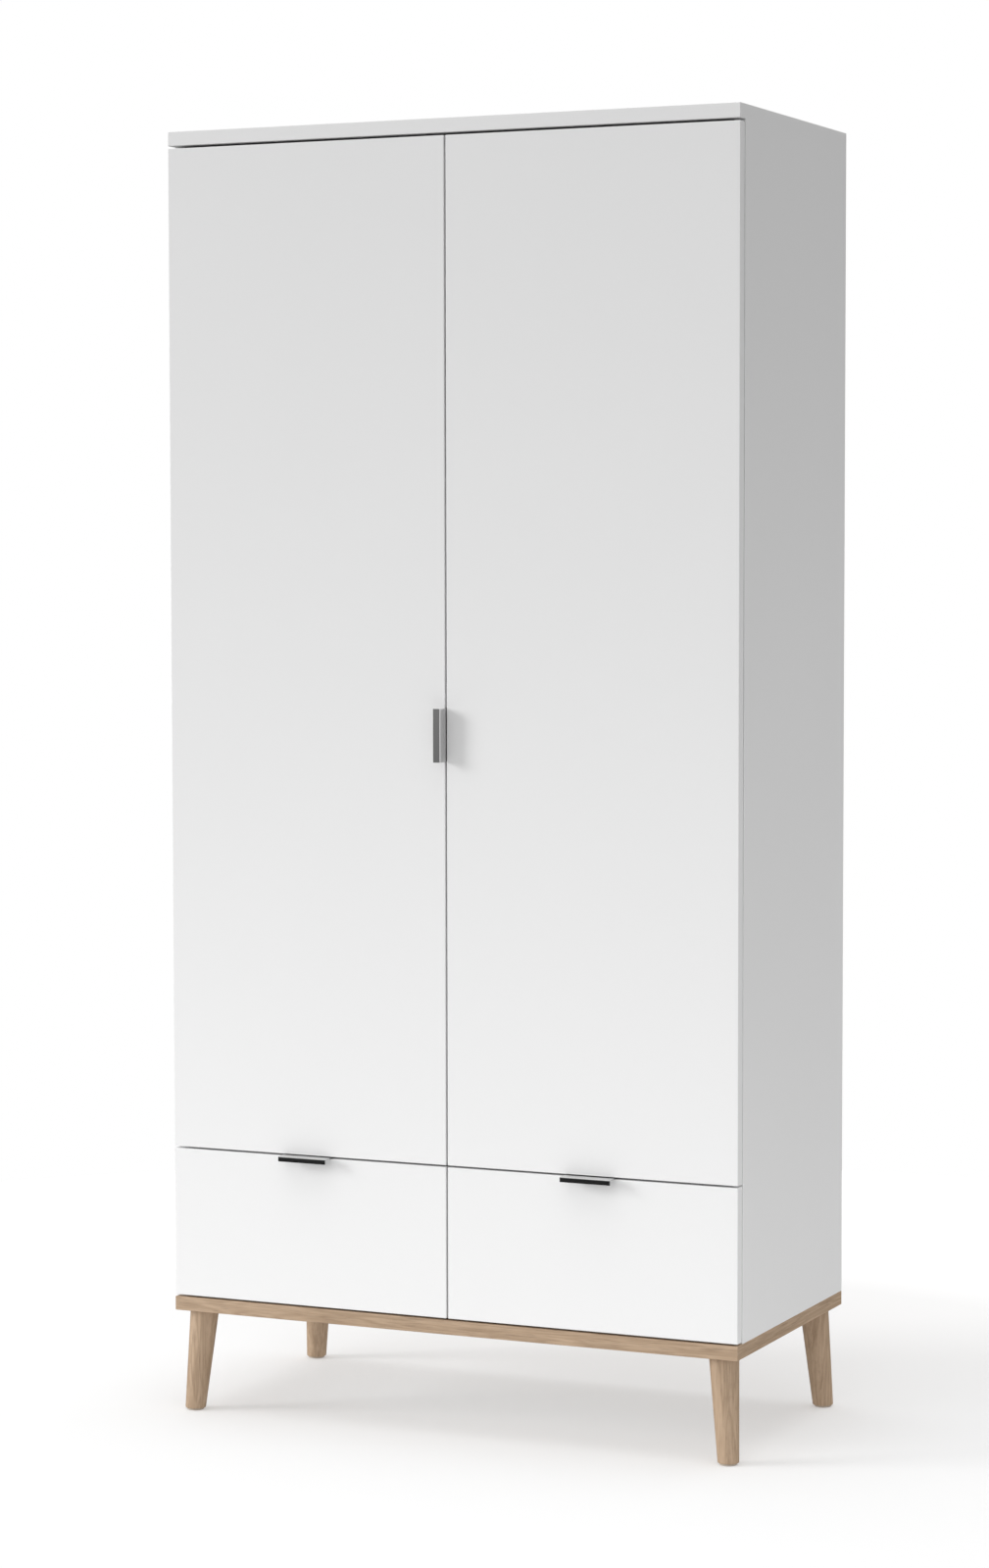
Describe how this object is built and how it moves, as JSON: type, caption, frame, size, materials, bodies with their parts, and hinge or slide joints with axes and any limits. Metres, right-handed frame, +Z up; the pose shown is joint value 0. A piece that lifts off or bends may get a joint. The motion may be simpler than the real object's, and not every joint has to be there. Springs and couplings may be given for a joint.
{
  "type": "wardrobe with doors and drawers",
  "caption": "Tall white wardrobe with two hinged doors over two drawers, metal edge handles and a light oak base on splayed legs.",
  "frame": {"origin": "on the floor, at the centre of the bounding box", "axes": "+Z up, the doors and drawers face -Y, +X to the right as seen from the front"},
  "size_m": [0.944, 0.487, 2],
  "materials": {
    "white_lacquer": "satin white lacquer on fibreboard",
    "white_melamine": "matt white melamine on chipboard",
    "white_fibreboard": "thin fibreboard with a white face",
    "oak": "matt lacquered light oak",
    "handle_metal": "satin nickel",
    "nickel_steel": "nickel plated, pressed",
    "zinc_steel": "zinc plated",
    "runner_enamel": "white enamel",
    "white_plastic": "moulded",
    "glide_plastic": "moulded, with a felt face"
  },
  "bodies": {
    "carcass": {"back_joining_strip": "white_plastic", "back_left_leg": "oak", "back_right_leg": "oak", "base_back_rail": "oak", "base_front_rail": "oak", "base_left_rail": "oak", "base_right_rail": "oak", "bottom_panel": "white_melamine", "cam_bolts": "zinc_steel", "cam_discs": "zinc_steel", "carcass_screws": "zinc_steel", "clothes_rail": "nickel_steel", "drawer_partition": "white_melamine", "drawer_tracks": "runner_enamel", "front_left_leg": "oak", "front_right_leg": "oak", "hat_shelf": "white_melamine", "hinge_arms": "nickel_steel", "hinge_plates": "nickel_steel", "left_back_panel": "white_fibreboard", "left_side_panel": "white_lacquer", "leg_bolts": "zinc_steel", "leg_glides": "glide_plastic", "middle_panel": "white_melamine", "rail_sockets": "nickel_steel", "right_back_panel": "white_fibreboard", "right_side_panel": "white_lacquer", "shelf_pins": "nickel_steel", "top_panel": "white_lacquer", "wall_brackets": "zinc_steel"},
    "left_door_leaf": {"left_door": "white_lacquer", "left_hinge_cups": "nickel_steel", "left_hinge_pins": "nickel_steel", "left_door_screws": "zinc_steel", "door_handle": "handle_metal"},
    "right_door_leaf": {"right_door": "white_lacquer", "right_hinge_cups": "nickel_steel", "right_hinge_pins": "nickel_steel", "right_door_screws": "zinc_steel"},
    "left_drawer": {"left_drawer_front": "white_lacquer", "left_drawer_handle": "handle_metal", "left_drawer_left_side": "white_melamine", "left_drawer_right_side": "white_melamine", "left_drawer_back": "white_melamine", "left_drawer_bottom": "white_fibreboard", "left_drawer_slides": "runner_enamel", "left_drawer_screws": "zinc_steel"},
    "right_drawer": {"right_drawer_front": "white_lacquer", "right_drawer_handle": "handle_metal", "right_drawer_left_side": "white_melamine", "right_drawer_right_side": "white_melamine", "right_drawer_back": "white_melamine", "right_drawer_bottom": "white_fibreboard", "right_drawer_slides": "runner_enamel", "right_drawer_screws": "zinc_steel"},
    "left_track_roller_pair": {"left_track_rollers": "white_plastic"},
    "right_track_roller_pair": {"right_track_rollers": "white_plastic"},
    "left_slide_roller_pair": {"left_slide_rollers": "white_plastic"},
    "right_slide_roller_pair": {"right_slide_rollers": "white_plastic"}
  },
  "joints": [
    {"name": "left_door_swing", "type": "hinge", "parent": "carcass", "child": "left_door_leaf", "pos_m": [-0.4635, -0.211, 1.2], "axis": [0, 0, -1], "range_deg": [0, 95]},
    {"name": "right_door_swing", "type": "hinge", "parent": "carcass", "child": "right_door_leaf", "pos_m": [0.4635, -0.211, 1.2], "axis": [0, 0, 1], "range_deg": [0, 95]},
    {"name": "left_drawer_travel", "type": "slide", "parent": "carcass", "child": "left_drawer", "axis": [0, -1, 0], "range_m": [0, 0.3]},
    {"name": "right_drawer_travel", "type": "slide", "parent": "carcass", "child": "right_drawer", "axis": [0, -1, 0], "range_m": [0, 0.3]},
    {"name": "left_track_roller_spin", "type": "hinge", "parent": "carcass", "child": "left_track_roller_pair", "pos_m": [0, -0.1855, 0.2271], "axis": [1, 0, 0], "range_deg": [-10, 1760]},
    {"name": "left_slide_roller_spin", "type": "hinge", "parent": "left_drawer", "child": "left_slide_roller_pair", "pos_m": [0, 0.1835, 0.226], "axis": [1, 0, 0], "range_deg": [-10, 1760]},
    {"name": "right_track_roller_spin", "type": "hinge", "parent": "carcass", "child": "right_track_roller_pair", "pos_m": [0, -0.1855, 0.2271], "axis": [1, 0, 0], "range_deg": [-10, 1760]},
    {"name": "right_slide_roller_spin", "type": "hinge", "parent": "right_drawer", "child": "right_slide_roller_pair", "pos_m": [0, 0.1835, 0.226], "axis": [1, 0, 0], "range_deg": [-10, 1760]}
  ],
  "couplings": [
    {"joint": "left_track_roller_spin", "follows": "left_drawer_travel", "rad_per_m": 95.238},
    {"joint": "left_slide_roller_spin", "follows": "left_drawer_travel", "rad_per_m": 100},
    {"joint": "right_track_roller_spin", "follows": "right_drawer_travel", "rad_per_m": 95.238},
    {"joint": "right_slide_roller_spin", "follows": "right_drawer_travel", "rad_per_m": 100}
  ]
}
